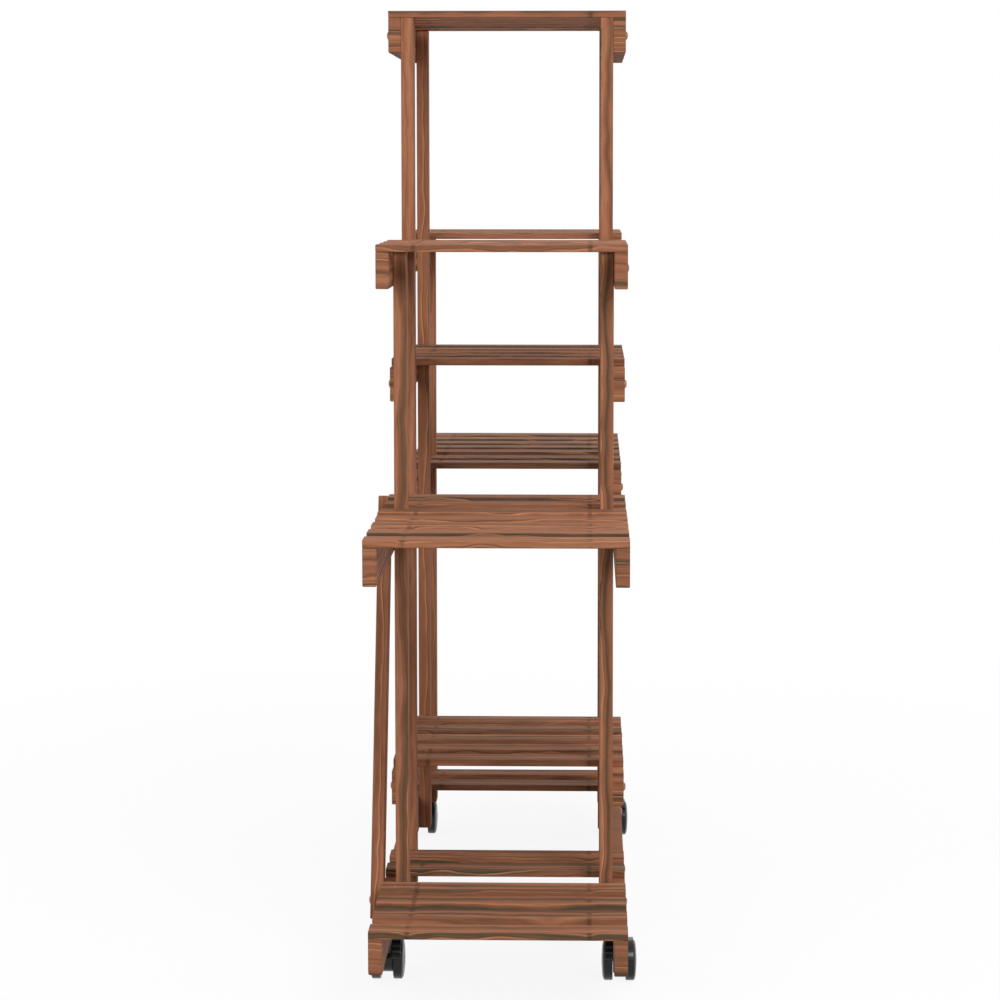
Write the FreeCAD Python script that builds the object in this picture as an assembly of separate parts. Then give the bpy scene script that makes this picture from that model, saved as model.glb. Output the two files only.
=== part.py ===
import FreeCAD, Part
import math
import os

# Tiered flower stand on twin-wheel casters.
# +Z is up from the floor, Y runs along the stand's length and X across it.
# +X is the open front, -X the rear with the two diagonal braces.
# The left end is at -Y, the right end at +Y, and both ends are mirror images.
# All sizes are millimetres.

# Slats
slat_length = 245.0
slat_width = 26.5
slat_thickness = 7.0
slat_gap = 20.0  # aimed at, then evened out over each run of slats
slat_chamfer = 0.6

# Rails under the slats, upright posts and diagonal braces
rail_thickness = 13.0
rail_height = 36.0
post_thickness = 13.0
post_width = 23.0
brace_thickness = 13.0
brace_width = 23.0
bar_chamfer = 0.8
base_rail_corner = 6.5  # rounding of the base rails' lower end corners

# Turned pieces repeat often, so they are many-sided, to keep their facets few
bolt_sides = 8
pin_sides = 12
wheel_sides = 28
hood_step = 8.5  # degrees between the hood's corners

# Heights of the shelves' upper faces
top_shelf_height = 972.0
upper_shelf_height = 736.5
middle_shelf_height = 610.7
side_shelf_height = 471.6
lower_shelf_height = 182.6
base_shelf_height = 93.7

# Distances along Y from the middle of the stand
tall_post_reach = 129.5  # to the outer faces of the four tall posts
side_post_reach = 246.4  # to the outer faces of the four side posts
upper_shelf_reach = 300.5
side_shelf_reach = 460.0
base_shelf_reach = 422.4

# Clearances between slats and posts along Y
middle_slat_clearance = 1.0
upper_slat_clearance = 4.0
side_slat_clearance = 8.0
side_outer_slat_clearance = 1.1
base_outer_slat_clearance = 10.0
inner_slat_clearance = 10.0

# Bolts through the rails into the posts
bolt_radius = 2.5
bolt_head_radius = 4.5
bolt_head_height = 2.3
bolt_head_crown = 1.3  # the sloping part of the head's height
bolt_crown_radius = 2.6
bolt_bite = 10.5  # how far a bolt goes into its post
brace_end_length = 19.0  # from a brace's bolt to its end

# Casters
wheel_radius = 20.0
wheel_face_inner = 6.5  # from the caster's middle plane to a wheel's inner face
wheel_face_outer = 15.2  # to the edge of the tread
wheel_crown = 17.4  # to the middle of the domed outer face
wheel_wall = 3.0
wheel_edge = 1.2  # bevel between the tread and the outer face
wheel_shoulder_radius = 13.0  # where the outer face turns flatter
wheel_shoulder_drop = 0.5  # from the crown back to the shoulder
hubcap_radius = 6.0
hub_radius = 5.0
axle_radius = 2.0
axle_fit = 0.05
axle_half_length = 13.0
web_half_width = 5.9
web_radius = 13.0
hood_gap = 0.9
hood_wall = 1.5
hood_half_width = 14.2
hood_lip_angle = 16.0  # above level, on the stem's side
hood_tail_angle = 48.0  # above level, on the trailing side
caster_trail = 17.0
caster_axle_reach = 271.8  # from the middle of the stand to the axles at rest
stem_radius = 3.5
stem_fit = 0.05
stem_flange_radius = 6.5
stem_flange_height = 1.6
stem_bite = 24.0  # length inside the rail
stem_drop = 17.0  # length below the rail
swivel_gap = 0.3
boss_floor = 2.0
boss_radius = 5.7

# Worked out from the sizes above
rail_outer = slat_length / 2
rail_inner = rail_outer - rail_thickness
rail_middle = rail_outer - rail_thickness / 2
post_inner = rail_inner - post_thickness
caster_half_width = wheel_crown
rear_reach = rail_outer + brace_thickness + bolt_head_height
front_reach = max(rail_middle + caster_half_width, rail_outer + bolt_head_height)
middle_x = (rear_reach - front_reach) / 2  # centres the whole stand on the origin
base_rail_bottom = base_shelf_height - slat_thickness - rail_height
tall_post_y = tall_post_reach - post_width / 2
side_post_y = side_post_reach - post_width / 2
stem_y = caster_axle_reach + caster_trail
base_bolt_height = base_rail_bottom + rail_height / 2
side_bolt_height = side_shelf_height - slat_thickness - rail_height / 2

sides = {"front": 1, "rear": -1}
ends = {"left": -1, "right": 1}


def vec(x, y, z):
    return FreeCAD.Vector(x, y, z)


def save(name, solids):
    shape = solids[0] if len(solids) == 1 else Part.makeCompound(solids)
    shape.exportStep("parts/" + name + ".step")
    triangles = len(shape.tessellate(0.1)[1])
    print(name, len(solids), "solids", triangles, "triangles", shape.isValid())


def span(low, high):
    return min(low, high), max(low, high)


def box(x_range, y_range, z_range):
    x0, x1 = span(*x_range)
    y0, y1 = span(*y_range)
    z0, z1 = span(*z_range)
    return Part.makeBox(x1 - x0, y1 - y0, z1 - z0, vec(x0, y0, z0))


def bar(x_range, y_range, z_range, chamfer):
    """A sawn and sanded length of wood with its edges eased."""
    block = box(x_range, y_range, z_range)
    return block.makeChamfer(chamfer, block.Edges)


def turned(profile, sides):
    """A many-sided turned solid about the X axis, from its (x, radius) places in order."""
    turns = [2 * math.pi * step / sides for step in range(sides)]
    rings = [
        [vec(x, radius * math.cos(turn), radius * math.sin(turn)) for turn in turns] for x, radius in profile
    ]
    faces = []
    for near, far in zip(rings, rings[1:] + rings[:1]):
        for place in range(sides):
            corners = []
            for corner in (near[place - 1], near[place], far[place], far[place - 1]):
                if not any(corner.isEqual(other, 1e-7) for other in corners):
                    corners.append(corner)
            if len(corners) > 2:
                faces.append(Part.Face(Part.makePolygon(corners + corners[:1])))
    solid = Part.Solid(Part.Shell(faces)).removeSplitter().Solids[0]
    if solid.Volume < 0:
        solid.reverse()
    return solid


def turned_upright(profile, sides, place):
    """The same about a vertical axis through a place, with the profile's x as the height above it."""
    solid = turned(profile, sides)
    solid.rotate(vec(0, 0, 0), vec(0, 1, 0), -90)
    solid.translate(place)
    return solid


def rod(radius, low, high):
    """The profile of a plain round bar."""
    return [(low, 0), (low, radius), (high, radius), (high, 0)]


# Slats


def slat(y, z_top):
    """One slat across the stand, with its four long edges eased."""
    half = slat_length / 2
    block = box((middle_x - half, middle_x + half), (y, y + slat_width), (z_top - slat_thickness, z_top))
    long_edges = [edge for edge in block.Edges if abs(edge.Length - slat_length) < 1e-6]
    return block.makeChamfer(slat_chamfer, long_edges)


def slat_run(y_from, y_to, z_top):
    """Slats spread evenly between two places along the stand."""
    low, high = span(y_from, y_to)
    count = max(1, round((high - low + slat_gap) / (slat_width + slat_gap)))
    pitch = (high - low - slat_width) / max(1, count - 1)
    return [slat(low + place * pitch, z_top) for place in range(count)]


def end_slats(end, outer, inner_clearance, outer_clearance, z_top):
    """The slats of a shelf that a pair of side posts stands through."""
    outer_run = slat_run(end * outer, end * (side_post_reach + outer_clearance), z_top)
    inner_start = side_post_reach - post_width - inner_slat_clearance
    inner_run = slat_run(end * inner_start, end * (tall_post_reach + inner_clearance), z_top)
    return outer_run + inner_run


def make_slats():
    middle_half = tall_post_reach - post_width - middle_slat_clearance
    save("top_slats", slat_run(-tall_post_reach, tall_post_reach, top_shelf_height))
    save("middle_slats", slat_run(-middle_half, middle_half, middle_shelf_height))
    save("lower_slats", slat_run(-middle_half, middle_half, lower_shelf_height))
    for end_name, end in ends.items():
        upper_inner = tall_post_reach + upper_slat_clearance
        upper = slat_run(end * upper_shelf_reach, end * upper_inner, upper_shelf_height)
        save("upper_slats_" + end_name, upper)
        side = end_slats(
            end, side_shelf_reach, side_slat_clearance, side_outer_slat_clearance, side_shelf_height
        )
        save("side_slats_" + end_name, side)
        base = end_slats(
            end, base_shelf_reach, side_slat_clearance, base_outer_slat_clearance, base_shelf_height
        )
        save("base_slats_" + end_name, base)


# Bolts: every place where a rail crosses a post, as (side, y, z)


def rail_level(shelf_height):
    """Height of a rail's middle under the slats of a shelf."""
    return shelf_height - slat_thickness - rail_height / 2


def crossings():
    tall = [-tall_post_y, tall_post_y]
    every = [-side_post_y] + tall + [side_post_y]
    rows = [
        (top_shelf_height, tall),
        (middle_shelf_height, tall),
        (lower_shelf_height, tall),
        (upper_shelf_height, every),
        (side_shelf_height, every),
        (base_shelf_height, every),
    ]
    return [(side, y, rail_level(height)) for side in sides.values() for height, row in rows for y in row]


def brace_points(end):
    """Where a rear brace is bolted: low at a side post, high at a tall post."""
    return (end * side_post_y, base_bolt_height), (end * tall_post_y, side_bolt_height)


def is_brace_bolt(side, y, z):
    points = [point for end in ends.values() for point in brace_points(end)]
    return side < 0 and any(abs(y - py) + abs(z - pz) < 1e-6 for py, pz in points)


def across(solid, side, y, z):
    """Moves a solid made about the X axis to a place on one side of the stand."""
    if side < 0:
        solid.rotate(vec(0, 0, 0), vec(0, 0, 1), 180)
    solid.translate(vec(middle_x, y, z))
    return solid


def bolt(side, y, z, grip):
    """A domed bolt. grip is the wood between its head and its post."""
    tip = rail_inner - bolt_bite
    seat = rail_inner + grip
    profile = [
        (tip, 0),
        (tip, bolt_radius),
        (seat, bolt_radius),
        (seat, bolt_head_radius),
        (seat + bolt_head_height - bolt_head_crown, bolt_head_radius),
        (seat + bolt_head_height, bolt_crown_radius),
        (seat + bolt_head_height, 0),
    ]
    return across(turned(profile, bolt_sides), side, y, z)


def bolt_hole(side, y, z, outer_face):
    return across(turned(rod(bolt_radius, rail_inner - bolt_bite, outer_face), bolt_sides), side, y, z)


def make_bolts():
    rail_bolts = []
    brace_bolts = []
    for side, y, z in crossings():
        if is_brace_bolt(side, y, z):
            brace_bolts.append(bolt(side, y, z, rail_thickness + brace_thickness))
        else:
            rail_bolts.append(bolt(side, y, z, rail_thickness))
    save("rail_bolts", rail_bolts)
    save("brace_bolts", brace_bolts)


# Rails and posts


def drilled(block, side, y_range, z_range):
    """The bar with a hole for each bolt that passes through it."""
    y0, y1 = span(*y_range)
    z0, z1 = span(*z_range)
    for bolt_side, y, z in crossings():
        if bolt_side == side and y0 < y < y1 and z0 < z < z1:
            block = block.cut(bolt_hole(side, y, z, rail_outer))
    return block


def rounded_bar(x_range, y_range, z_range, corner, chamfer):
    """A bar with its two lower end corners rounded and its outline eased on both faces."""
    x0, x1 = span(*x_range)
    y0, y1 = span(*y_range)
    z0, z1 = span(*z_range)
    inset = corner * (1 - math.sqrt(0.5))
    outline = [
        Part.makeLine(vec(x0, y0, z1), vec(x0, y1, z1)),
        Part.makeLine(vec(x0, y1, z1), vec(x0, y1, z0 + corner)),
        Part.Arc(
            vec(x0, y1, z0 + corner), vec(x0, y1 - inset, z0 + inset), vec(x0, y1 - corner, z0)
        ).toShape(),
        Part.makeLine(vec(x0, y1 - corner, z0), vec(x0, y0 + corner, z0)),
        Part.Arc(
            vec(x0, y0 + corner, z0), vec(x0, y0 + inset, z0 + inset), vec(x0, y0, z0 + corner)
        ).toShape(),
        Part.makeLine(vec(x0, y0, z0 + corner), vec(x0, y0, z1)),
    ]
    block = Part.Face(Part.Wire(outline)).extrude(vec(x1 - x0, 0, 0))
    outline_edges = [edge for edge in block.Edges if edge.BoundBox.XLength < 1e-6]
    return block.makeChamfer(chamfer, outline_edges)


def rail(side, y_from, y_to, shelf_height):
    top = shelf_height - slat_thickness
    x_range = (middle_x + side * rail_inner, middle_x + side * rail_outer)
    z_range = (top - rail_height, top)
    block = bar(x_range, (y_from, y_to), z_range, bar_chamfer)
    return drilled(block, side, (y_from, y_to), z_range)


def base_rail(side):
    """A full-length rail, bored for the caster stems."""
    x_range = (middle_x + side * rail_inner, middle_x + side * rail_outer)
    y_range = (-base_shelf_reach, base_shelf_reach)
    z_range = (base_rail_bottom, base_rail_bottom + rail_height)
    block = rounded_bar(x_range, y_range, z_range, base_rail_corner, bar_chamfer)
    for end in ends.values():
        block = block.cut(stem_hole(side, end))
    return drilled(block, side, y_range, z_range)


def stem_hole(side, end):
    place = vec(middle_x + side * rail_middle, end * stem_y, base_rail_bottom)
    return turned_upright(rod(stem_radius, 0, stem_bite), pin_sides, place)


def post(side, y_from, y_to, top):
    x_range = (middle_x + side * post_inner, middle_x + side * rail_inner)
    z_range = (base_rail_bottom, top)
    block = bar(x_range, (y_from, y_to), z_range, bar_chamfer)
    return drilled(block, side, (y_from, y_to), z_range)


def make_rails():
    short = [("top", top_shelf_height), ("middle", middle_shelf_height), ("lower", lower_shelf_height)]
    tall_inner = tall_post_reach - post_width
    for side_name, side in sides.items():
        for level, height in short:
            save(level + "_rail_" + side_name, [rail(side, -tall_post_reach, tall_post_reach, height)])
        save("base_rail_" + side_name, [base_rail(side)])
        for end_name, end in ends.items():
            place = side_name + "_" + end_name
            upper = rail(side, end * upper_shelf_reach, end * tall_inner, upper_shelf_height)
            save("upper_rail_" + place, [upper])
            outer = rail(side, end * side_shelf_reach, end * tall_inner, side_shelf_height)
            save("side_rail_" + place, [outer])


def make_posts():
    for side_name, side in sides.items():
        for end_name, end in ends.items():
            place = side_name + "_" + end_name
            tall_top = top_shelf_height - slat_thickness
            tall = post(side, end * tall_post_reach, end * (tall_post_reach - post_width), tall_top)
            save("tall_post_" + place, [tall])
            side_top = upper_shelf_height - slat_thickness
            low = post(side, end * side_post_reach, end * (side_post_reach - post_width), side_top)
            save("side_post_" + place, [low])


# Braces: square-ended bars that lean across the rear, outside the rails


def brace(end):
    low, high = brace_points(end)
    run = math.hypot(high[0] - low[0], high[1] - low[1])
    lean = math.degrees(math.atan2(high[0] - low[0], high[1] - low[1]))
    x_range = (middle_x - rail_outer - brace_thickness, middle_x - rail_outer)
    z_range = (-brace_end_length, run + brace_end_length)
    block = bar(x_range, (-brace_width / 2, brace_width / 2), z_range, bar_chamfer)
    block.rotate(vec(0, 0, 0), vec(1, 0, 0), -lean)
    block.translate(vec(0, low[0], low[1]))
    for y, z in (low, high):
        block = block.cut(bolt_hole(-1, y, z, rail_outer + brace_thickness))
    return block


def make_braces():
    for end_name, end in ends.items():
        save("brace_" + end_name, [brace(end)])


# Casters, first made about the axle's middle with the stem towards -Y, then placed


def clear_radius(radius, sides):
    """The corner radius of a many-sided bore that leaves a round pin of this radius free."""
    return radius / math.cos(math.pi / sides)


def wheel(direction):
    """A cup-shaped wheel: tread, crowned outer face with a hubcap, and a hub that runs on the axle."""
    bore = clear_radius(axle_radius + axle_fit, wheel_sides)
    plug = axle_half_length + axle_fit
    floor = wheel_face_outer - wheel_wall
    profile = [
        (wheel_face_inner, bore),
        (wheel_face_inner, hub_radius),
        (floor, hub_radius),
        (floor, wheel_radius - wheel_wall),
        (wheel_face_inner, wheel_radius - wheel_wall),
        (wheel_face_inner, wheel_radius),
        (wheel_face_outer - wheel_edge, wheel_radius),
        (wheel_face_outer, wheel_radius - wheel_edge),
        (wheel_crown - wheel_shoulder_drop, wheel_shoulder_radius),
        (wheel_crown, hubcap_radius),
        (wheel_crown, 0),
        (plug, 0),
        (plug, bore),
    ]
    solid = turned(profile, wheel_sides)
    if direction < 0:
        solid.rotate(vec(0, 0, 0), vec(0, 0, 1), 180)
    return solid


def hood_arc(radius):
    """(y, z) places on the hood's arc about the axle, from its tail over the top to its lip."""
    lip = 180 - hood_lip_angle
    steps = math.ceil((lip - hood_tail_angle) / hood_step)
    sweep = (lip - hood_tail_angle) / steps
    turns = [math.radians(hood_tail_angle + sweep * step) for step in range(steps + 1)]
    return [(radius * math.cos(turn), radius * math.sin(turn)) for turn in turns]


def plate(outline, half_width):
    """An outline of (y, z) places, as thick to both sides of the caster's middle plane."""
    face = Part.Face(Part.makePolygon([vec(-half_width, y, z) for y, z in outline + outline[:1]]))
    return face.extrude(vec(2 * half_width, 0, 0))


def hood():
    """The caster's body: a web between the wheels, a curved hood over them and a boss for the stem."""
    inside = wheel_radius + hood_gap
    outside = inside + hood_wall
    cover = plate(hood_arc(outside) + hood_arc(inside)[::-1], hood_half_width)
    fin = plate([(0, 0)] + hood_arc(outside), web_half_width)
    disc = turned(rod(web_radius, -web_half_width, web_half_width), wheel_sides)
    stem_foot = base_rail_bottom - stem_drop - wheel_radius
    boss_top = base_rail_bottom - stem_flange_height - swivel_gap - wheel_radius
    stem_place = vec(0, -caster_trail, 0)
    boss = turned_upright(rod(boss_radius, stem_foot - boss_floor, boss_top), pin_sides, stem_place)
    stem_bore_radius = clear_radius(stem_radius + stem_fit, pin_sides)
    stem_bore = turned_upright(
        rod(stem_bore_radius, stem_foot - swivel_gap, boss_top), pin_sides, stem_place
    )
    axle_bore = turned(rod(axle_radius, -web_half_width, web_half_width), pin_sides)
    body = fin.fuse(disc).fuse(cover).fuse(boss)
    return body.cut(stem_bore).cut(axle_bore).removeSplitter().Solids[0]


def axle():
    return turned(rod(axle_radius, -axle_half_length, axle_half_length), pin_sides)


def stem(side, end):
    """A plain pin pressed up into the rail, with a flange that bears on the rail's underside."""
    profile = [
        (-stem_drop, 0),
        (-stem_drop, stem_radius),
        (-stem_flange_height, stem_radius),
        (-stem_flange_height, stem_flange_radius),
        (0, stem_flange_radius),
        (0, stem_radius),
        (stem_bite, stem_radius),
        (stem_bite, 0),
    ]
    place = vec(middle_x + side * rail_middle, end * stem_y, base_rail_bottom)
    return turned_upright(profile, pin_sides, place)


def placed(shape, side, end):
    """Turns a caster piece so that its stem is on the outer side, and moves it under its rail."""
    shape = shape.copy()
    if end > 0:
        shape.rotate(vec(0, 0, 0), vec(0, 0, 1), 180)
    shape.translate(vec(middle_x + side * rail_middle, end * caster_axle_reach, wheel_radius))
    return shape


def make_casters():
    save("caster_stems", [stem(side, end) for side in sides.values() for end in ends.values()])
    hood_shape = hood()
    wheels = {direction: wheel(direction) for direction in (-1, 1)}
    for side_name, side in sides.items():
        for end_name, end in ends.items():
            place = side_name + "_" + end_name
            save("caster_hood_" + place, [placed(hood_shape, side, end)])
            save("caster_axle_" + place, [placed(axle(), side, end)])
            for wheel_name, outwards in (("outer_wheel_", 1), ("inner_wheel_", -1)):
                direction = outwards * side * -end
                save(wheel_name + place, [placed(wheels[direction], side, end)])


make_slats()
make_rails()
make_posts()
make_braces()
make_bolts()
make_casters()
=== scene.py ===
import math
import random

import bmesh
import bpy
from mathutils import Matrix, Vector


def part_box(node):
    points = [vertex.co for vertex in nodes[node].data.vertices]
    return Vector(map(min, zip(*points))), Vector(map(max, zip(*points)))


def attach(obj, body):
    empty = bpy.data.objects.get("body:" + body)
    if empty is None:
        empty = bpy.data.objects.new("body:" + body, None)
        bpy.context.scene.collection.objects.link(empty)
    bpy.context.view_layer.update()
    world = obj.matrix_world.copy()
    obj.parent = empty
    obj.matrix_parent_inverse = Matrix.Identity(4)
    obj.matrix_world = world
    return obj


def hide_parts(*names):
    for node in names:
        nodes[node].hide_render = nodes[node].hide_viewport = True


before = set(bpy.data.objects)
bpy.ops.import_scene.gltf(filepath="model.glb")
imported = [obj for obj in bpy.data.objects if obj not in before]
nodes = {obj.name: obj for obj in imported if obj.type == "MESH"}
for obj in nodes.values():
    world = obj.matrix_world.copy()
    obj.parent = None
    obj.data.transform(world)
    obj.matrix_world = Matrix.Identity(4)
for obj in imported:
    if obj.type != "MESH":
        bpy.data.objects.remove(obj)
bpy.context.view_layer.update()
print("stage: frame loaded,", len(nodes), "nodes")


# small helpers for building node trees

def addNode(tree, kind, settings=None, inputs=None):
    node = tree.nodes.new(kind)
    for name, value in (settings or {}).items():
        setattr(node, name, value)
    for key, value in (inputs or {}).items():
        if isinstance(value, bpy.types.NodeSocket):
            tree.links.new(value, node.inputs[key])
        else:
            node.inputs[key].default_value = value
    return node


def calc(tree, operation, *values):
    settings = {"operation": operation}
    return addNode(tree, "ShaderNodeMath", settings, dict(enumerate(values))).outputs[0]


def mixColor(tree, blend, amount, colorA, colorB):
    settings = {"data_type": "RGBA", "blend_type": blend, "clamp_result": True}
    return addNode(tree, "ShaderNodeMix", settings, {0: amount, 6: colorA, 7: colorB}).outputs[2]


def combine(tree, x, y, z):
    return addNode(tree, "ShaderNodeCombineXYZ", None, {0: x, 1: y, 2: z}).outputs[0]


def noise(tree, vector, scale, detail, roughness=0.5):
    inputs = {"Vector": vector, "Scale": scale, "Detail": detail, "Roughness": roughness}
    return addNode(tree, "ShaderNodeTexNoise", {"noise_dimensions": "3D"}, inputs).outputs[0]


def noiseAlong(tree, value, scale, detail):
    inputs = {"W": value, "Scale": scale, "Detail": detail}
    return addNode(tree, "ShaderNodeTexNoise", {"noise_dimensions": "1D"}, inputs).outputs[0]


def rescale(tree, value, fromLow, fromHigh, toLow, toHigh, smooth=False):
    settings = {"interpolation_type": "SMOOTHSTEP" if smooth else "LINEAR", "clamp": True}
    inputs = {"Value": value, "From Min": fromLow, "From Max": fromHigh,
              "To Min": toLow, "To Max": toHigh}
    return addNode(tree, "ShaderNodeMapRange", settings, inputs).outputs[0]


def hump(tree, value, rise, top, brow, fall):
    # goes smoothly from 0 up to 1 between rise and top, and down again between brow and fall
    up = rescale(tree, value, rise, top, 0.0, 1.0, smooth=True)
    down = rescale(tree, value, brow, fall, 1.0, 0.0, smooth=True)
    return calc(tree, "MULTIPLY", up, down)


def rampColor(tree, value, stops, interpolation="LINEAR"):
    node = addNode(tree, "ShaderNodeValToRGB", None, {0: value})
    ramp = node.color_ramp
    ramp.interpolation = interpolation
    while len(ramp.elements) > 1:
        ramp.elements.remove(ramp.elements[-1])
    ramp.elements[0].position = stops[0][0]
    for position, _ in stops[1:]:
        ramp.elements.new(position)
    for element, (_, color) in zip(ramp.elements, stops):
        element.color = (*color, 1.0)
    return node.outputs[0]


def groupSocket(tree, name, direction, kind, value=None):
    socket = tree.interface.new_socket(name=name, in_out=direction, socket_type=kind)
    if value is not None:
        socket.default_value = value


def newMaterial(name):
    material = bpy.data.materials.new(name)
    material.use_nodes = True
    return material, material.node_tree, material.node_tree.nodes["Principled BSDF"]


def assign(node, material):
    node.data.materials.clear()
    node.data.materials.append(material)


# places read from the frame

fastenerReach = 0.045           # metres, in which a heap of vertices is one bolt or stem


def fastenerBoxes(nodeName):
    boxes = []
    for vertex in nodes[nodeName].data.vertices:
        point = vertex.co
        for low, high in boxes:
            if all(abs(point[axis] - low[axis]) < fastenerReach for axis in range(3)):
                for axis in range(3):
                    low[axis] = min(low[axis], point[axis])
                    high[axis] = max(high[axis], point[axis])
                break
        else:
            boxes.append((point.copy(), point.copy()))
    return boxes


def boardRanges(node):
    # each slat's own range across the grain, from the gaps between the slats
    touching = 0.0001
    spans = []
    for polygon in node.data.polygons:
        places = [node.data.vertices[index].co.y for index in polygon.vertices]
        spans.append((min(places), max(places)))
    boards = []
    for start, end in sorted(spans):
        if boards and start <= boards[-1][1] + touching:
            boards[-1][1] = max(boards[-1][1], end)
        else:
            boards.append([start, end])
    return boards


# stained softwood

wood = {
    "dark": (0.072, 0.038, 0.022),
    "orange": (0.560, 0.245, 0.115),
    "tones": [                  # from the darkest band to the lightest
        (0.370, (0.118, 0.073, 0.043)),     # olive
        (0.425, (0.185, 0.092, 0.050)),     # umber
        (0.480, (0.262, 0.109, 0.056)),     # brown
        (0.570, (0.338, 0.134, 0.069)),     # red brown
        (0.700, (0.420, 0.180, 0.094)),     # tan
    ],
    "bandsPerRing": 0.62,
    "bandDetail": 1.6,
    "bandShare": 0.82,          # of a band's tone in the whole
    "driftShare": 0.22,         # of the slow change of tone along a board
    "boardSpread": 0.04,        # how much lighter or darker a board may be than its neighbours
    "seedShift": 3.7,           # how far a seed moves the noises, and the bands in rings
    "seedRings": 13.1,
    "slatSeeds": 50.0,          # range of the seeds in one row of slats
    "ringSpacing": 0.0054,      # metres from one growth ring to the next
    "pithDistance": 0.085,      # metres from the middle of a board to the middle of its tree
    "waviness": 0.95,           # how far the rings wander, in rings
    "slowShare": 2.6,
    "quickShare": 1.1,
    "flatness": 0.30,           # how much of it they wander through the board's thickness
    "railFlatness": 0.10,
    "slatTilt": 0.62,           # radians from a board's width to the way its rings advance
    "postTilt": 0.78,
    "railTilt": 0.03,
    "tiltSpread": 0.4,          # times the flatness
    "streakPlace": (0.50, 0.70, 0.76, 0.84),    # of the light line in a ring, as shares of it
    "streakStrength": 0.85,
    "edgePlace": (0.80, 0.90, 0.94, 1.00),      # of the dark line beside it
    "edgeStrength": 0.50,
    "fibreDarkness": 0.15,
    "roughness": 0.62,
    "specular": 0.10,
    "relief": 0.6,
    "reliefHeight": 0.00010,    # metres
}

# frequency along and across the board, offset and detail of each noise in the wood
woodNoises = {
    "slowWave": (10.0, 30.0, 1.3, 0.6),
    "quickWave": (26.0, 85.0, 8.1, 1.5),
    "smudges": (6.0, 150.0, 5.2, 1.0),
    "knotCells": (8.0, 34.0, 4.4, 0.0),
    "drift": (3.5, 24.0, 6.2, 2.0),
    "streakPatches": (13.0, 60.0, 2.9, 1.0),
    "fibres": (40.0, 900.0, 3.3, 2.5),
}

woodKnots = {
    "slatPlace": 0.086,         # metres from the middle of a slat to its two small knots
    "smallHeart": 0.0007,       # metres along the board, where a small knot is darkest
    "smallEdge": 0.0036,
    "smallReach": 0.010,
    "smallPush": 0.16,          # how far it pushes the rings aside, in rings
    "smallDarkness": 0.6,
    "rarity": 0.80,             # share of the cells that hold no large knot
    "heart": 0.03,              # in cells, where a large knot is darkest
    "edge": 0.17,
    "reach": 0.42,
    "push": 1.5,
    "darkness": 0.8,
}


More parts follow.
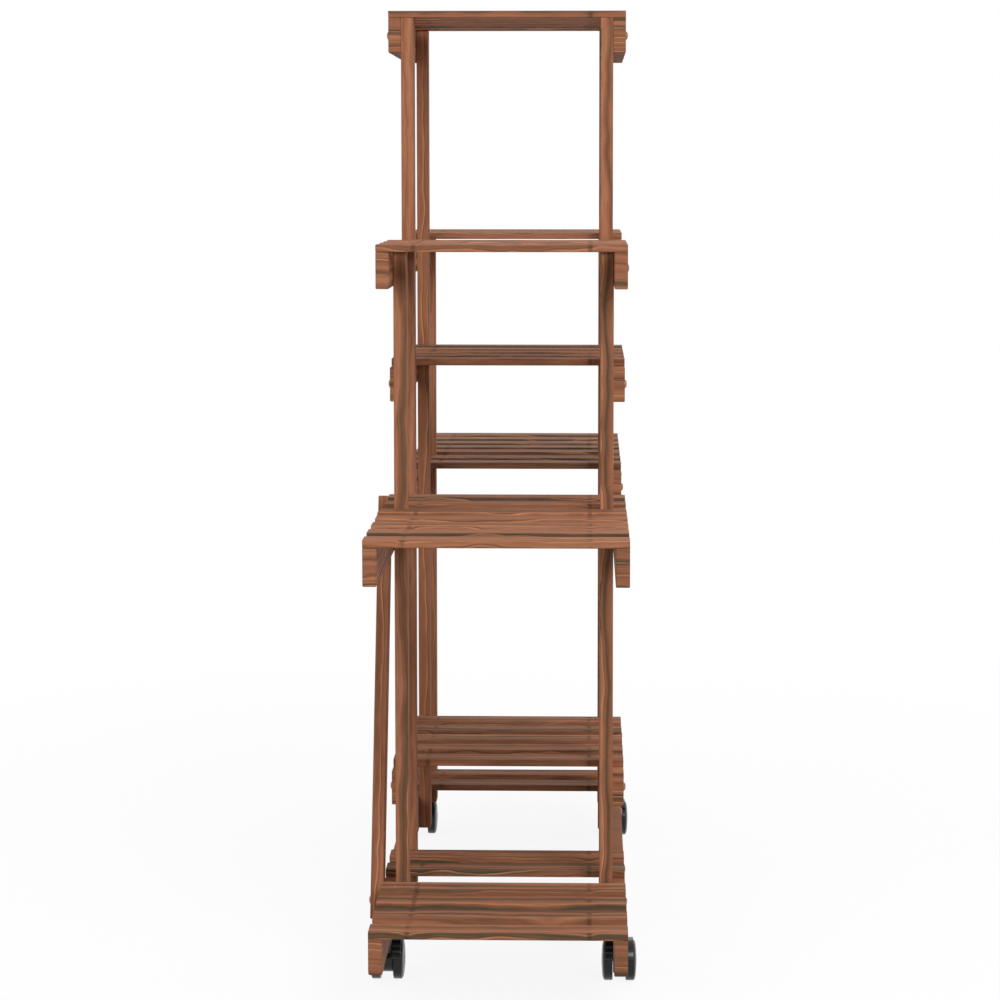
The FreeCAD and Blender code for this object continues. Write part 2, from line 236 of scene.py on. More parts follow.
def buildWoodGroup():
    tree = bpy.data.node_groups.new("stainedWood", "ShaderNodeTree")
    # Grain is in metres along, across and through the board
    groupSocket(tree, "Grain", "INPUT", "NodeSocketVector")
    groupSocket(tree, "Seed", "INPUT", "NodeSocketFloat", 0.0)
    groupSocket(tree, "Tilt", "INPUT", "NodeSocketFloat", wood["slatTilt"])
    groupSocket(tree, "Knots", "INPUT", "NodeSocketFloat", 0.0)
    groupSocket(tree, "Lift", "INPUT", "NodeSocketFloat", 0.0)
    groupSocket(tree, "Flatness", "INPUT", "NodeSocketFloat", wood["flatness"])
    groupSocket(tree, "Color", "OUTPUT", "NodeSocketColor")
    groupSocket(tree, "Roughness", "OUTPUT", "NodeSocketFloat")
    groupSocket(tree, "Height", "OUTPUT", "NodeSocketFloat")
    source = addNode(tree, "NodeGroupInput").outputs
    seed = source["Seed"]
    split = addNode(tree, "ShaderNodeSeparateXYZ", None, {0: source["Grain"]})
    along, across, through = split.outputs
    chance = addNode(
        tree, "ShaderNodeTexWhiteNoise", {"noise_dimensions": "1D"}, {"W": seed})
    chances = addNode(
        tree, "ShaderNodeSeparateColor", None, {0: chance.outputs["Color"]}).outputs
    shift = calc(tree, "MULTIPLY", seed, wood["seedShift"])
    flat = calc(tree, "MULTIPLY", through, source["Flatness"])

    def times(first, second):
        return calc(tree, "MULTIPLY", first, second)

    def plus(first, second):
        return calc(tree, "ADD", first, second)

    def fade(value, fromLow, fromHigh, toLow, toHigh):
        return rescale(tree, value, fromLow, fromHigh, toLow, toHigh, smooth=True)

    def stretched(name):
        alongScale, acrossScale, offset, _ = woodNoises[name]
        return combine(tree, plus(times(along, alongScale), offset),
                       plus(times(across, acrossScale), shift),
                       plus(times(flat, acrossScale), offset))

    def clouds(name, roughness=0.5):
        return noise(tree, stretched(name), 1.0, woodNoises[name][3], roughness)

    # growth rings round a pith outside the board, which wander along it
    spread = wood["tiltSpread"]
    wobble = times(rescale(tree, chances[0], 0, 1, -spread, spread), source["Flatness"])
    tilt = plus(source["Tilt"], wobble)
    offAcross = plus(across, times(calc(tree, "COSINE", tilt), wood["pithDistance"]))
    offThrough = plus(through, times(calc(tree, "SINE", tilt), wood["pithDistance"]))
    distance = calc(
        tree, "SQRT", plus(times(offAcross, offAcross), times(offThrough, offThrough)))
    slowWave = calc(tree, "SUBTRACT", clouds("slowWave"), 0.5)
    quickWave = calc(tree, "SUBTRACT", clouds("quickWave"), 0.5)
    wander = plus(times(slowWave, wood["waviness"] * wood["slowShare"]),
                  times(quickWave, wood["waviness"] * wood["quickShare"]))
    rings = plus(calc(tree, "DIVIDE", distance, wood["ringSpacing"]), wander)

    # two small knots at set places push the rings aside
    knot = woodKnots
    fromMiddle = calc(tree, "SUBTRACT", calc(tree, "ABSOLUTE", along), source["Knots"])
    fromKnot = calc(tree, "ABSOLUTE", fromMiddle)
    hasKnots = calc(tree, "GREATER_THAN", source["Knots"], 0.001)
    smudge = fade(clouds("smudges"), 0.44, 0.60, 0.0, 1.0)
    smallHeart = times(fade(fromKnot, knot["smallHeart"], knot["smallEdge"], 1.0, 0.0), smudge)
    smallHeart = times(smallHeart, hasKnots)
    smallPush = times(fade(fromKnot, 0.0, knot["smallReach"], knot["smallPush"], 0.0), hasKnots)

    # and so does now and then a larger one
    cells = addNode(
        tree, "ShaderNodeTexVoronoi", {"feature": "F1", "voronoi_dimensions": "3D"},
        {"Vector": stretched("knotCells"), "Scale": 1.0}).outputs
    cellChance = addNode(
        tree, "ShaderNodeSeparateColor", None, {0: cells["Color"]}).outputs[0]
    knotHere = calc(tree, "GREATER_THAN", cellChance, knot["rarity"])
    knotPush = times(fade(cells["Distance"], 0.0, knot["reach"], knot["push"], 0.0), knotHere)
    rings = plus(plus(rings, knotPush), smallPush)
    heart = times(fade(cells["Distance"], knot["heart"], knot["edge"], 1.0, 0.0), knotHere)
    heart = calc(tree, "MAXIMUM", times(heart, knot["darkness"]),
                 times(smallHeart, knot["smallDarkness"]))

    # broad bands of tone
    seededRings = plus(rings, times(seed, wood["seedRings"]))
    tone = times(noiseAlong(tree, seededRings, wood["bandsPerRing"], wood["bandDetail"]),
                 wood["bandShare"])
    tone = plus(tone, times(clouds("drift"), wood["driftShare"]))
    spread = wood["boardSpread"]
    tone = plus(tone, rescale(tree, chances[2], 0, 1, -spread, spread))
    # Lift moves a whole board lighter or darker: its own tone, and also painted light and shade per
    # part
    color = rampColor(tree, plus(tone, source["Lift"]), wood["tones"])

    # in some rings a light wavy line, with a thin dark one beside it
    place = calc(tree, "FRACT", seededRings)
    ringNumber = calc(tree, "FLOOR", seededRings)
    ringChance = addNode(
        tree, "ShaderNodeTexWhiteNoise", {"noise_dimensions": "1D"}, {"W": ringNumber})
    ringStrength = fade(ringChance.outputs[0], 0.30, 0.80, 0.0, 1.0)
    patch = fade(clouds("streakPatches"), 0.36, 0.60, 0.25, 1.0)
    strength = times(ringStrength, patch)
    streak = times(hump(tree, place, *wood["streakPlace"]), strength)
    edge = times(hump(tree, place, *wood["edgePlace"]),
                 rescale(tree, strength, 0.0, 0.6, 0.25, 1.0))
    orange, dark = (*wood["orange"], 1.0), (*wood["dark"], 1.0)
    color = mixColor(tree, "MIX", times(streak, wood["streakStrength"]), color, orange)
    color = mixColor(tree, "MIX", times(edge, wood["edgeStrength"]), color, dark)

    # fine fibres, and the dark hearts of the knots
    fibres = clouds("fibres", 0.6)
    darkness = wood["fibreDarkness"]
    fibreTone = rescale(tree, fibres, 0.30, 0.70, 1.0 - darkness, 1.0 + darkness * 0.6)
    fibreColor = addNode(tree, "ShaderNodeCombineColor", None, dict.fromkeys(range(3), fibreTone))
    color = mixColor(tree, "MULTIPLY", 1.0, color, fibreColor.outputs[0])
    color = mixColor(tree, "MIX", heart, color, dark)

    # the dark lines stand a little proud, and the fibres change the gloss
    sink = addNode(tree, "NodeGroupOutput").inputs
    tree.links.new(color, sink["Color"])
    tree.links.new(plus(wood["roughness"] - 0.06, times(fibres, 0.16)), sink["Roughness"])
    tree.links.new(plus(times(edge, 0.5), times(fibres, 0.5)), sink["Height"])
    return tree


woodGroup = buildWoodGroup()


def boardSteps(tree, value, boards, dice):
    # steps that give a place across a row of slats its own slat's middle and seed
    low, high = boards[0][0], boards[-1][1]
    spread = high - low
    stops = []
    for place, (start, end) in enumerate(boards):
        begin = 0.0 if place == 0 else ((boards[place - 1][1] + start) / 2 - low) / spread
        stops.append((begin, (dice.random(), ((start + end) / 2 - low) / spread, 0.0)))
    share = calc(tree, "DIVIDE", calc(tree, "SUBTRACT", value, low), spread)
    ramp = rampColor(tree, share, stops, "CONSTANT")
    steps = addNode(tree, "ShaderNodeSeparateColor", None, {0: ramp})
    across = calc(tree, "MULTIPLY", calc(tree, "SUBTRACT", share, steps.outputs[1]), spread)
    return across, calc(tree, "MULTIPLY", steps.outputs[0], wood["slatSeeds"])


def woodFinish(name, axes, tilt, knots, lift, dice, lean=0.0):
    # axes are those along, across and through the board
    low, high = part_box(name)
    middle = (low + high) / 2
    material, tree, shader = newMaterial("stainedWood_" + name)
    place = addNode(tree, "ShaderNodeTexCoord").outputs["Object"]
    if lean:
        place = addNode(tree, "ShaderNodeMapping", {"vector_type": "TEXTURE"}, {
            "Vector": place, "Location": tuple(middle), "Rotation": (lean, 0.0, 0.0)}).outputs[0]
        middle = Vector((0.0, 0.0, 0.0))
    split = addNode(tree, "ShaderNodeSeparateXYZ", None, {0: place}).outputs
    along, across, through = [
        calc(tree, "SUBTRACT", split[axis], middle[axis]) for axis in axes]
    seed = float(dice.randrange(1, 400))
    if "slats" in name:
        across, boardSeed = boardSteps(tree, split[1], boardRanges(nodes[name]), dice)
        seed = calc(tree, "ADD", boardSeed, seed)
    group = addNode(tree, "ShaderNodeGroup", {"node_tree": woodGroup}, {
        "Grain": combine(tree, along, across, through), "Seed": seed, "Tilt": tilt,
        "Knots": knots, "Lift": lift,
        "Flatness": wood["railFlatness" if "rail" in name else "flatness"]})
    tree.links.new(group.outputs["Color"], shader.inputs["Base Color"])
    tree.links.new(group.outputs["Roughness"], shader.inputs["Roughness"])
    bump = addNode(tree, "ShaderNodeBump", None, {
        "Strength": wood["relief"], "Distance": wood["reliefHeight"],
        "Height": group.outputs["Height"]})
    tree.links.new(bump.outputs[0], shader.inputs["Normal"])
    shader.inputs["Specular IOR Level"].default_value = wood["specular"]
    assign(nodes[name], material)


def braceLean(end):
    # from a brace's lower bolt to its upper one
    middles = [(low + high) / 2 for low, high in fastenerBoxes("brace_bolts")]
    lower, upper = sorted(
        (middle for middle in middles if middle.y * end > 0), key=lambda middle: middle.z)
    return math.atan2(lower.y - upper.y, upper.z - lower.z)


# how much lighter or darker the wood is in boards whose names start so: partly each board's own
# tone, partly painted light and shade, lighter on the top shelves and front posts, darker on the
# lower shelves and the right side slats
woodToneAndShade = {
    "top_slats": 0.055, "upper_slats": 0.03, "middle_slats": -0.03,
    "side_slats_right": -0.085, "base_slats": -0.05, "lower_slats": -0.03,
    "tall_post_rear": 0.03, "tall_post_front": 0.075, "side_post": 0.095, "brace": 0.04,
    "top_rail": 0.02, "middle_rail": 0.01, "upper_rail": 0.02, "side_rail": 0.04,
    "base_rail": 0.02,
}

dice = random.Random(11)
# each board's lift carries painted light and shade as well as its own tone
for name in sorted(nodes):
    lift = next((woodToneAndShade[start] for start in woodToneAndShade if name.startswith(start)), 0.0)
    if "slats" in name:
        woodFinish(name, (0, 1, 2), wood["slatTilt"], woodKnots["slatPlace"], lift, dice)
    elif "rail_" in name and "bolts" not in name:
        woodFinish(name, (1, 2, 0), wood["railTilt"], 0.0, lift, dice)
    elif "post" in name:
        woodFinish(name, (2, 1, 0), wood["postTilt"], 0.0, lift, dice)
    elif name.startswith("brace_") and "bolts" not in name:
        lean = braceLean(1 if name.endswith("right") else -1)
        woodFinish(name, (2, 1, 0), wood["postTilt"], 0.0, lift, dice, lean)
print("stage: wood finished")


# metal and plastic finishes

finishes = {
    "bronze": {
        "color": (0.330, 0.185, 0.115), "variation": 0.30, "roughness": 0.34,
        "metallic": 0.9, "specular": 0.5, "grainScale": 700.0, "grainHeight": 0.00004,
    },
    "zinc": {
        "color": (0.560, 0.560, 0.570), "variation": 0.12, "roughness": 0.30,
        "metallic": 1.0, "specular": 0.5, "grainScale": 600.0, "grainHeight": 0.00002,
    },
    "glossyBlack": {
        "color": (0.0085, 0.0095, 0.0105), "variation": 0.20, "roughness": 0.17,
        "metallic": 0.0, "specular": 0.35, "grainScale": 900.0, "grainHeight": 0.00002,
    },
    "satinBlack": {
        "color": (0.0110, 0.0120, 0.0135), "variation": 0.30, "roughness": 0.27,
        "metallic": 0.0, "specular": 0.28, "grainScale": 900.0, "grainHeight": 0.00003,
    },
}


def solidFinish(name):
    values = finishes[name]
    material, tree, shader = newMaterial(name)
    place = addNode(tree, "ShaderNodeTexCoord").outputs["Object"]
    cloud = noise(tree, place, values["grainScale"] * 0.08, 3.0)
    grain = noise(tree, place, values["grainScale"], 2.0)
    tint = rampColor(tree, cloud, [
        (0.3, tuple(value * (1 - values["variation"]) for value in values["color"])),
        (0.7, tuple(value * (1 + values["variation"]) for value in values["color"])),
    ])
    tree.links.new(tint, shader.inputs["Base Color"])
    gloss = calc(tree, "ADD", calc(tree, "MULTIPLY", cloud, 0.12), values["roughness"] - 0.06)
    tree.links.new(gloss, shader.inputs["Roughness"])
    bump = addNode(tree, "ShaderNodeBump", None, {
        "Strength": 0.5, "Distance": values["grainHeight"], "Height": grain})
    tree.links.new(bump.outputs[0], shader.inputs["Normal"])
    shader.inputs["Metallic"].default_value = values["metallic"]
    shader.inputs["Specular IOR Level"].default_value = values["specular"]
    return material


materials = {name: solidFinish(name) for name in finishes}
for name, node in nodes.items():
    if "axle" in name:
        assign(node, materials["zinc"])


# pieces made by geometry nodes: a shape is built once and set on each of its places

roundSides = {"head": 32, "headRings": 16, "shaft": 20, "stem": 32, "flange": 48, "boss": 48}


def placesMesh(name, places, outwards):
    mesh = bpy.data.meshes.new(name)
    mesh.from_pydata(places, [], [])
    attribute = mesh.attributes.new("outward", "FLOAT_VECTOR", "POINT")
    for item, outward in zip(attribute.data, outwards):
        item.vector = outward
    return mesh


def startTree(name, sizes):
    tree = bpy.data.node_groups.new(name, "GeometryNodeTree")
    groupSocket(tree, "Places", "INPUT", "NodeSocketGeometry")
    for size in sizes:
        groupSocket(tree, size, "INPUT", "NodeSocketFloat", 0.001)
    groupSocket(tree, "Finish", "INPUT", "NodeSocketMaterial")
    groupSocket(tree, "Pieces", "OUTPUT", "NodeSocketGeometry")
    return tree, addNode(tree, "NodeGroupInput").outputs


def raised(tree, geometry, height):
    return addNode(tree, "GeometryNodeTransform", None, {
        "Geometry": geometry, "Translation": combine(tree, 0.0, 0.0, height)}).outputs[0]


def cylinder(tree, sides, radius, depth):
    return addNode(tree, "GeometryNodeMeshCylinder", None, {
        "Vertices": sides, "Radius": radius, "Depth": depth}).outputs["Mesh"]


def joined(tree, *geometries):
    node = addNode(tree, "GeometryNodeJoinGeometry")
    for geometry in geometries:
        tree.links.new(geometry, node.inputs[0])
    return node.outputs[0]


def setOnPlaces(tree, source, shape, seed):
    outward = addNode(tree, "GeometryNodeInputNamedAttribute",
                      {"data_type": "FLOAT_VECTOR"}, {"Name": "outward"})
    facing = addNode(tree, "FunctionNodeAlignRotationToVector",
                     {"axis": "Z"}, {"Vector": outward.outputs[0]})
    copies = addNode(tree, "GeometryNodeInstanceOnPoints", None, {
        "Points": source["Places"], "Instance": shape, "Rotation": facing.outputs[0]})
    turn = addNode(tree, "FunctionNodeRandomValue",
                   {"data_type": "FLOAT"}, {2: 0.0, 3: math.tau, "Seed": seed})
    spun = addNode(tree, "GeometryNodeRotateInstances", None, {
        "Instances": copies.outputs[0], "Rotation": combine(tree, 0.0, 0.0, turn.outputs[1])})
    real = addNode(tree, "GeometryNodeRealizeInstances", None, {"Geometry": spun.outputs[0]})
    finished = addNode(tree, "GeometryNodeSetMaterial", None, {
        "Geometry": real.outputs[0], "Material": source["Finish"]})
    sink = addNode(tree, "NodeGroupOutput")
    tree.links.new(finished.outputs[0], sink.inputs[0])


def addPiece(name, mesh, material, smoothAngle=35.0):
    mesh.name = name
    mesh.materials.clear()
    mesh.materials.append(material)
    mesh.shade_smooth()
    mesh.set_sharp_from_angle(angle=math.radians(smoothAngle))
    piece = bpy.data.objects.new(name, mesh)
    bpy.context.scene.collection.objects.link(piece)
    return piece


def plainMesh(holder):
    # the mesh that an object's modifiers make, in place of the object
    bpy.context.scene.collection.objects.link(holder)
    graph = bpy.context.evaluated_depsgraph_get()
    plain = bpy.data.meshes.new_from_object(holder.evaluated_get(graph), depsgraph=graph)
    bpy.data.objects.remove(holder)
    return plain


def runTree(tree, mesh, name, values):
    holder = bpy.data.objects.new(name + "Places", mesh)
    modifier = holder.modifiers.new("build", "NODES")
    modifier.node_group = tree
    for item in tree.interface.items_tree:
        if item.item_type == "SOCKET" and item.in_out == "INPUT" and item.name in values:
            modifier[item.identifier] = values[item.name]
    return addPiece(name, plainMesh(holder), values["Finish"])


# domed bolts with six-sided sockets

bolt = {
    "Head radius": 0.0045,
    "Head height": 0.0023,
    "Socket width": 0.0030,
    "Socket depth": 0.0013,
    "Shaft radius": 0.0025,
}


def buildBoltTree():
    tree, source = startTree("domedBolts", [*bolt, "Shaft length"])
    radius, height = source["Head radius"], source["Head height"]
    ball = addNode(tree, "GeometryNodeMeshUVSphere", None, {
        "Segments": roundSides["head"], "Rings": roundSides["headRings"], "Radius": 1.0})
    dome = addNode(tree, "GeometryNodeTransform", None, {
        "Geometry": ball.outputs["Mesh"], "Scale": combine(tree, radius, radius, height)})
    wide = calc(tree, "MULTIPLY", radius, 4.0)
    block = addNode(tree, "GeometryNodeMeshCube", None, {
        "Size": combine(tree, wide, wide, calc(tree, "MULTIPLY", height, 2.0))})
    below = raised(tree, block.outputs["Mesh"], calc(tree, "MULTIPLY", height, -1.0))
    socketRadius = calc(tree, "DIVIDE", source["Socket width"], math.sqrt(3.0))
    socket = cylinder(tree, 6, socketRadius, calc(tree, "MULTIPLY", source["Socket depth"], 2.0))
    socket = raised(tree, socket, height)
    head = addNode(tree, "GeometryNodeMeshBoolean", {"operation": "DIFFERENCE"}, {
        "Mesh 1": dome.outputs[0], "Mesh 2": joined(tree, below, socket)})
    shaft = cylinder(tree, roundSides["shaft"], source["Shaft radius"], source["Shaft length"])
    shaft = raised(tree, shaft, calc(tree, "MULTIPLY", source["Shaft length"], -0.5))
    setOnPlaces(tree, source, joined(tree, head.outputs[0], shaft), 7)
    return tree


def makeBolts(tree, nodeName, pieceName):
    places = []
    outwards = []
    for low, high in fastenerBoxes(nodeName):
        middle = (low + high) / 2
        side = 1.0 if middle.x > 0 else -1.0
        top = high.x if side > 0 else low.x
        places.append((top - side * bolt["Head height"], middle.y, middle.z))
        outwards.append((side, 0.0, 0.0))
    length = high.x - low.x - bolt["Head height"]       # the same for all of one node
    values = {**bolt, "Shaft length": length, "Finish": materials["bronze"]}
    piece = runTree(tree, placesMesh(pieceName, places, outwards), pieceName, values)
    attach(piece, "frame")
    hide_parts(nodeName)


boltTree = buildBoltTree()
makeBolts(boltTree, "rail_bolts", "railBolts")
makeBolts(boltTree, "brace_bolts", "braceBolts")
print("stage: bolts set")


# casters

caster = {
    "stemRadius": 0.0035,
    "fit": 0.00005,             # radial clearance on the stem and the axle
    "flangeRadius": 0.0065,
    "flangeHeight": 0.0016,
    "swivelGap": 0.0003,
    "hoodGap": 0.0009,          # between a wheel's tread and the hood
    "hoodWall": 0.0015,
    "hoodHalfWidth": 0.0142,
    "lipAngle": 16.0,           # degrees above level, on the stem's side
    "tailAngle": 48.0,          # degrees above level, on the trailing side
    "webHalfWidth": 0.0059,
    "webRadius": 0.0130,
    "bossRadius": 0.0057,
    "bossFloor": 0.0020,
    "edgeRound": 0.0005,
    "arcStep": 4.0,             # degrees
}

wheel = {
    "wall": 0.0030,
    "hubRadius": 0.0050,
    "rimRound": 0.0006,
    "treadRound": 0.0012,
    "domeDepth": 0.0022,        # from the edge of the tread to the crown
    "capRadius": 0.0064,
    "capGroove": 0.0005,
    "steps": 72,
    "treadSteps": 4,
    "domeSteps": 9,
}


def arc(radius, fromTurn, toTurn, steps):
    # places on a circle about (0, 0), with the turns in degrees
    stride = (toTurn - fromTurn) / steps
    turns = [math.radians(fromTurn + stride * step) for step in range(steps + 1)]
    return [(radius * math.cos(turn), radius * math.sin(turn)) for turn in turns]


def lathe(form, profile, steps, toPlace):
    # profile is a closed run of (height along the axis, radius), and toPlace puts a point
    # in the frame
    rings = []
    for height, radius in profile:
        if radius < 1e-7:
            rings.append([form.verts.new(toPlace(height, 0.0, 0.0))])
        else:
            circle = arc(radius, 0, 360, steps)[:-1]
            rings.append([form.verts.new(toPlace(height, *place)) for place in circle])
    for near, far in zip(rings, rings[1:] + rings[:1]):
        if len(near) == 1 and len(far) == 1:
            continue
        for step in range(steps):
            after = (step + 1) % steps
            corners = [near[step % len(near)], near[after % len(near)],
                       far[after % len(far)], far[step % len(far)]]
            form.faces.new(list(dict.fromkeys(corners)))


def prism(form, outline, low, high, toPlace):
    near, far = [
        [form.verts.new(toPlace(height, *place)) for place in outline] for height in (low, high)]
    form.faces.new(near)
    form.faces.new(far)
    for step in range(len(outline)):
        form.faces.new([near[step - 1], near[step], far[step], far[step - 1]])


def formMesh(form, name):
    bmesh.ops.recalc_face_normals(form, faces=form.faces)
    mesh = bpy.data.meshes.new(name)
    form.to_mesh(mesh)
    form.free()
    return mesh


def rounded(mesh, width, segments):
    holder = bpy.data.objects.new("rounding", mesh)
    modifier = holder.modifiers.new("round", "BEVEL")
    modifier.width = width
    modifier.segments = segments
    modifier.limit_method = "ANGLE"
    modifier.angle_limit = math.radians(40.0)
    return plainMesh(holder)


def makeWheel(name, body, middle):
    low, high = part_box(name)
    radius = (high.z - low.z) / 2
    side = 1.0 if low.x > middle.x else -1.0
    inner, crown = sorted((abs(low.x - middle.x), abs(high.x - middle.x)))
    shoulder = crown - wheel["domeDepth"]
    floor = shoulder - wheel["wall"]
    bore = axleRadius + caster["fit"]
    plug = axleHalf + caster["fit"]
    hub = wheel["hubRadius"]
    rim = radius - wheel["wall"]
    ease = wheel["rimRound"]
    tread = wheel["treadRound"]
    cap = wheel["capRadius"]
    groove = wheel["capGroove"]
    sunk = groove * 1.6
    profile = [
        (inner, bore), (inner, hub - ease / 2), (inner + ease / 2, hub), (floor, hub), (floor, rim),
        (inner + ease, rim), (inner, rim + ease), (inner, radius - ease), (inner + ease, radius),
    ]
    profile += [(shoulder - tread + y, radius - tread + x)
                for x, y in arc(tread, 0, 70, wheel["treadSteps"])]
    reach = radius - tread - cap
    rise = wheel["domeDepth"] - groove / 2
    for step in range(1, wheel["domeSteps"]):
        turn = math.radians(90.0 * step / wheel["domeSteps"])
        profile.append((shoulder + rise * math.sin(turn), cap + reach * math.cos(turn)))
    profile += [
        (crown - groove / 2, cap + groove), (crown - sunk, cap + groove / 2), (crown - sunk, cap),
        (crown - groove / 2, cap - groove / 2), (crown, cap - groove * 2),
        (crown, 0.0), (plug, 0.0), (plug, bore),
    ]
    form = bmesh.new()
    lathe(form, profile, wheel["steps"],
          lambda height, y, z: (middle.x + side * height, middle.y + y, middle.z + z))
    piece = addPiece(name + "_turned", formMesh(form, name), materials["satinBlack"], 28.0)
    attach(piece, body)
    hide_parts(name)


def makeHood(name, body, middle, wheelRadius, stem):
    stemFoot = stem[0].z
    stemY = (stem[0].y + stem[1].y) / 2
    lead = 1.0 if stemY > middle.y else -1.0
    inside = wheelRadius + caster["hoodGap"]
    outside = inside + caster["hoodWall"]
    lip, tail = caster["lipAngle"], 180.0 - caster["tailAngle"]
    steps = round((tail - lip) / caster["arcStep"])
    outerArc = arc(outside, lip, tail, steps)
    innerArc = arc(inside, lip, tail, steps)
    halfWidth, web = caster["hoodHalfWidth"], caster["webHalfWidth"]
    form = bmesh.new()

    def sideways(height, y, z):
        return (middle.x + height, middle.y + lead * y, middle.z + z)

    def upright(height, x, y):
        return (middle.x + x, stemY + y, height)

    # the hood, the web between the wheels, and the ring about the axle
    prism(form, outerArc + innerArc[::-1], -halfWidth, halfWidth, sideways)
    prism(form, [(0.0, 0.0)] + outerArc, -web, web, sideways)
    webRadius = caster["webRadius"]
    webRing = [(-web, axleRadius), (-web, webRadius), (web, webRadius), (web, axleRadius)]
    lathe(form, webRing, wheel["steps"], sideways)

    # the boss, with a bore for the stem
    boss = caster["bossRadius"]
    bore = caster["stemRadius"] + caster["fit"]
    bossTop = railUnderside - caster["flangeHeight"] - caster["swivelGap"]
    boreFoot = stemFoot - caster["swivelGap"]
    bossFoot = stemFoot - caster["bossFloor"]
    bossWall = [(bossFoot, 0.0), (bossFoot, boss), (bossTop, boss),
                (bossTop, bore), (boreFoot, bore), (boreFoot, 0.0)]
    lathe(form, bossWall, roundSides["boss"], upright)

    mesh = rounded(formMesh(form, name), caster["edgeRound"], 3)
    piece = addPiece(name + "_moulded", mesh, materials["glossyBlack"], 50.0)
    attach(piece, body)
    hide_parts(name)


def buildStemTree():
    sizes = ["Stem radius", "Drop", "Rise", "Flange radius", "Flange height"]
    tree, source = startTree("turnedStems", sizes)
    length = calc(tree, "ADD", source["Drop"], source["Rise"])
    middle = calc(tree, "MULTIPLY", calc(tree, "SUBTRACT", source["Rise"], source["Drop"]), 0.5)
    stem = cylinder(tree, roundSides["stem"], source["Stem radius"], length)
    stem = raised(tree, stem, middle)
    height = source["Flange height"]
    flange = cylinder(tree, roundSides["flange"], source["Flange radius"], height)
    flange = raised(tree, flange, calc(tree, "MULTIPLY", height, -0.5))
    setOnPlaces(tree, source, joined(tree, stem, flange), 3)
    return tree


def makeStems(stems):
    places = [((low.x + high.x) / 2, (low.y + high.y) / 2, railUnderside) for low, high in stems]
    foot, top = stems[0][0].z, stems[0][1].z
    mesh = placesMesh("casterPins", places, [(0.0, 0.0, 1.0)] * len(places))
    piece = runTree(buildStemTree(), mesh, "casterPins", {
        "Stem radius": caster["stemRadius"],
        "Drop": railUnderside - foot,
        "Rise": top - railUnderside,
        "Flange radius": caster["flangeRadius"],
        "Flange height": caster["flangeHeight"],
        "Finish": materials["zinc"],
    })
    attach(piece, "frame")
    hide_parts("caster_stems")


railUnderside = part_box("base_rail_front")[0].z
stems = fastenerBoxes("caster_stems")
axleLow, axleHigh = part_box("caster_axle_front_left")
axleRadius = (axleHigh.z - axleLow.z) / 2
axleHalf = (axleHigh.x - axleLow.x) / 2
makeStems(stems)
for side in ("front", "rear"):
    for end in ("left", "right"):
        spot = side + "_" + end
        low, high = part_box("caster_axle_" + spot)
        middle = (low + high) / 2
        wheelLow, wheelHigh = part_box("outer_wheel_" + spot)
        wheelRadius = (wheelHigh.z - wheelLow.z) / 2
        nearest = min(stems, key=lambda stem: ((stem[0] + stem[1]) / 2 - middle).length)
        makeHood("caster_hood_" + spot, "swivel_" + spot, middle, wheelRadius, nearest)
        for wheelName in ("outer_wheel_", "inner_wheel_"):
            makeWheel(wheelName + spot, wheelName + spot, middle)
print("stage: casters built")


# floor, light and camera

studio = {
    "floorSize": 60.0,
    "floorColor": 0.97,         # as the camera sees it
    "floorBounce": 0.30,        # as the light sees it, so that undersides stay dark
    "floorGlow": 0.89,          # share of plain white in the floor near the stand
    "fadeStart": 0.60,          # metres from the middle, where the floor starts to turn white
    "fadeEnd": 1.6,
    "worldStrength": 0.66,
    "cameraPlace": (0.0838, -2.7028, 0.8126),
    "cameraTurn": 1.208,        # degrees to the left
    "cameraTilt": 4.699,        # degrees down
    "cameraLens": 89.31,
    "cameraShift": (-0.0335, -0.13),
}

areaLights = {
    "keyLight": {
        "place": (1.7, -2.9, 2.7), "target": (0.0, 0.0, 0.5), "size": 1.8, "watts": 62.0},
    "fillLight": {
        "place": (-2.4, -2.4, 1.7), "target": (0.0, 0.0, 0.4), "size": 2.2, "watts": 22.0},
    "backLight": {
        "place": (0.6, 3.0, 2.4), "target": (0.0, 0.0, 0.5), "size": 2.2, "watts": 14.0},
    "glintLight": {
        "place": (0.5, -2.6, 2.0), "target": (0.1, -0.27, 0.03), "size": 0.35, "watts": 4.0},
}

white = (1.0, 1.0, 1.0, 1.0)


def seenByEye(tree):
    # the camera sees it, straight or in a reflection
    rays = addNode(tree, "ShaderNodeLightPath").outputs
    seen = calc(tree, "MAXIMUM", rays["Is Camera Ray"], rays["Is Glossy Ray"])
    return calc(tree, "MAXIMUM", seen, rays["Is Transmission Ray"])


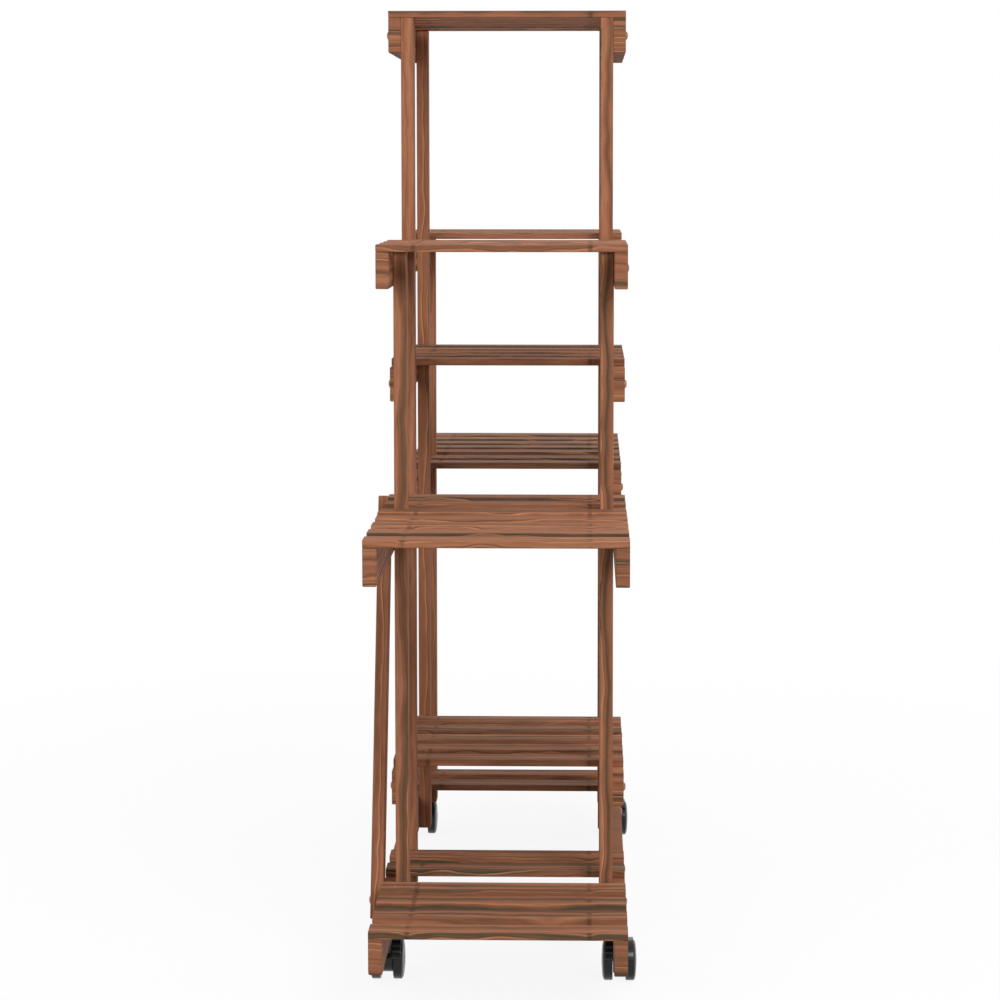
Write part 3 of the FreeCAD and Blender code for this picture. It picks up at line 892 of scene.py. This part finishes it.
def buildFloor():
    half = studio["floorSize"] / 2
    corners = [(-half, -half, 0), (half, -half, 0), (half, half, 0), (-half, half, 0)]
    mesh = bpy.data.meshes.new("floor")
    mesh.from_pydata(corners, [], [(0, 1, 2, 3)])
    floor = bpy.data.objects.new("floor", mesh)
    bpy.context.scene.collection.objects.link(floor)
    material, tree, shader = newMaterial("paleFloor")
    seen = seenByEye(tree)
    tone = rescale(tree, seen, 0.0, 1.0, studio["floorBounce"], studio["floorColor"])
    color = addNode(tree, "ShaderNodeCombineColor", None, dict.fromkeys(range(3), tone))
    tree.links.new(color.outputs[0], shader.inputs["Base Color"])
    shader.inputs["Roughness"].default_value = 0.9
    shader.inputs["Specular IOR Level"].default_value = 0.0
    place = addNode(tree, "ShaderNodeTexCoord").outputs["Object"]
    away = addNode(tree, "ShaderNodeVectorMath", {"operation": "LENGTH"}, {0: place})
    fade = rescale(tree, away.outputs["Value"], studio["fadeStart"], studio["fadeEnd"],
                   studio["floorGlow"], 1.0, smooth=True)
    glow = addNode(tree, "ShaderNodeEmission", None, {"Color": white, "Strength": 1.0})
    blend = addNode(tree, "ShaderNodeMixShader", None, {
        0: calc(tree, "MULTIPLY", seen, fade), 1: shader.outputs[0], 2: glow.outputs[0]})
    tree.links.new(blend.outputs[0], tree.nodes["Material Output"].inputs["Surface"])
    mesh.materials.append(material)


def buildWorld():
    world = bpy.data.worlds.new("studioWorld")
    bpy.context.scene.world = world
    world.use_nodes = True
    tree = world.node_tree
    tree.nodes.clear()
    light = addNode(tree, "ShaderNodeBackground", None, {
        "Color": white, "Strength": studio["worldStrength"]})
    shown = addNode(tree, "ShaderNodeBackground", None, {"Color": white, "Strength": 1.0})
    blend = addNode(tree, "ShaderNodeMixShader", None, {
        0: seenByEye(tree), 1: light.outputs[0], 2: shown.outputs[0]})
    output = addNode(tree, "ShaderNodeOutputWorld")
    tree.links.new(blend.outputs[0], output.inputs["Surface"])


def buildLights():
    for name, values in areaLights.items():
        data = bpy.data.lights.new(name, "AREA")
        data.shape = "DISK"
        data.size = values["size"]
        data.energy = values["watts"]
        lamp = bpy.data.objects.new(name, data)
        bpy.context.scene.collection.objects.link(lamp)
        lamp.location = values["place"]
        towards = Vector(values["target"]) - Vector(values["place"])
        lamp.rotation_euler = towards.to_track_quat("-Z", "Y").to_euler()


def buildCamera():
    data = bpy.data.cameras.new("camera")
    data.sensor_width = 36.0
    data.lens = studio["cameraLens"]
    data.shift_x, data.shift_y = studio["cameraShift"]
    data.clip_end = 100.0
    camera = bpy.data.objects.new("camera", data)
    bpy.context.scene.collection.objects.link(camera)
    camera.location = studio["cameraPlace"]
    camera.rotation_euler = (
        math.radians(90.0 - studio["cameraTilt"]), 0.0, math.radians(studio["cameraTurn"]))
    bpy.context.scene.camera = camera


buildFloor()
buildWorld()
buildLights()
buildCamera()
bpy.context.scene.view_settings.view_transform = "Standard"
print("stage: floor, light and camera placed")
